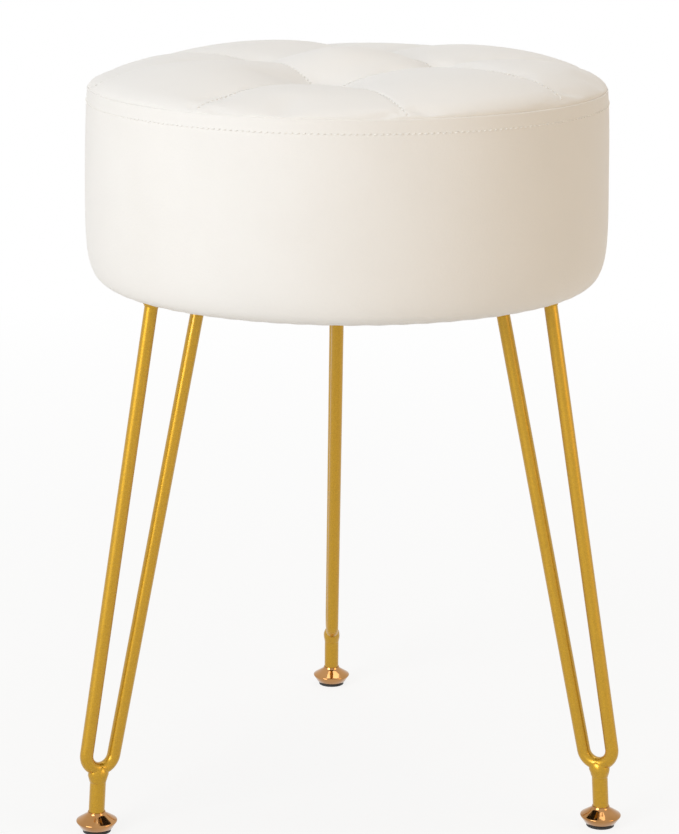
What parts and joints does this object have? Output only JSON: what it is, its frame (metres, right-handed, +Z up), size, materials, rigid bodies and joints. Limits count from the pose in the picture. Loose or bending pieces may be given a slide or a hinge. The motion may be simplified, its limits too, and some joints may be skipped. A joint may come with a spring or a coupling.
{
  "type": "vanity stool",
  "caption": "Round padded stool with a tufted quilted top and smooth drum side, on bent-rod hairpin legs with screw-in levelling feet.",
  "frame": {"origin": "on the stool's vertical axis, at the level of the floor under the three pads", "axes": "+Z up along the stool's axis; +Y towards the rear leg; the left and right legs stand towards -X-Y and +X-Y"},
  "size_m": [0.3274, 0.3442, 0.46],
  "materials": {
    "leatherette": "satin",
    "foam": "matte",
    "plywood": "matte",
    "thread": "matte",
    "dust_cloth": "matte",
    "zinc_steel": "satin",
    "gold_paint": "satin",
    "rose_gold": "polished",
    "rubber": "matte"
  },
  "bodies": {
    "stool": {"seat_board": "plywood", "foam_core": "foam", "quilted_top": "leatherette", "side_cover": "leatherette", "tuft_cords": "thread", "tuft_washers": "zinc_steel", "dust_cover": "dust_cloth", "cover_staples": "zinc_steel", "dust_cover_staples": "zinc_steel", "leg_bolts": "zinc_steel", "leg_washers": "zinc_steel", "tee_nuts": "zinc_steel", "leg_plate_rear": "gold_paint", "hairpin_rod_rear": "gold_paint", "rod_welds_rear": "gold_paint", "foot_stud_rear": "gold_paint", "stud_weld_rear": "gold_paint", "leg_plate_left": "gold_paint", "hairpin_rod_left": "gold_paint", "rod_welds_left": "gold_paint", "foot_stud_left": "gold_paint", "stud_weld_left": "gold_paint", "leg_plate_right": "gold_paint", "hairpin_rod_right": "gold_paint", "rod_welds_right": "gold_paint", "foot_stud_right": "gold_paint", "stud_weld_right": "gold_paint"},
    "pad_rear": {"glide_pad_rear": "rubber"},
    "foot_rear": {"glide_screw_rear": "zinc_steel", "glide_disc_rear": "rose_gold"},
    "pad_left": {"glide_pad_left": "rubber"},
    "foot_left": {"glide_screw_left": "zinc_steel", "glide_disc_left": "rose_gold"},
    "pad_right": {"glide_pad_right": "rubber"},
    "foot_right": {"glide_screw_right": "zinc_steel", "glide_disc_right": "rose_gold"}
  },
  "joints": [
    {"name": "pad_drop_rear", "type": "slide", "parent": "stool", "child": "pad_rear", "axis": [0, 0, -1], "range_m": [0, 0.006]},
    {"name": "foot_turn_rear", "type": "hinge", "parent": "pad_rear", "child": "foot_rear", "pos_m": [0, 0.17496, 0], "axis": [0, 0, -1], "range_deg": [0, 2700]},
    {"name": "pad_drop_left", "type": "slide", "parent": "stool", "child": "pad_left", "axis": [0, 0, -1], "range_m": [0, 0.006]},
    {"name": "foot_turn_left", "type": "hinge", "parent": "pad_left", "child": "foot_left", "pos_m": [-0.15152, -0.08748, 0], "axis": [0, 0, -1], "range_deg": [0, 2700]},
    {"name": "pad_drop_right", "type": "slide", "parent": "stool", "child": "pad_right", "axis": [0, 0, -1], "range_m": [0, 0.006]},
    {"name": "foot_turn_right", "type": "hinge", "parent": "pad_right", "child": "foot_right", "pos_m": [0.15152, -0.08748, 0], "axis": [0, 0, -1], "range_deg": [0, 2700]}
  ],
  "couplings": [
    {"joint": "pad_drop_rear", "follows": "foot_turn_rear", "m_per_rad": 0.00012732},
    {"joint": "pad_drop_left", "follows": "foot_turn_left", "m_per_rad": 0.00012732},
    {"joint": "pad_drop_right", "follows": "foot_turn_right", "m_per_rad": 0.00012732}
  ]
}
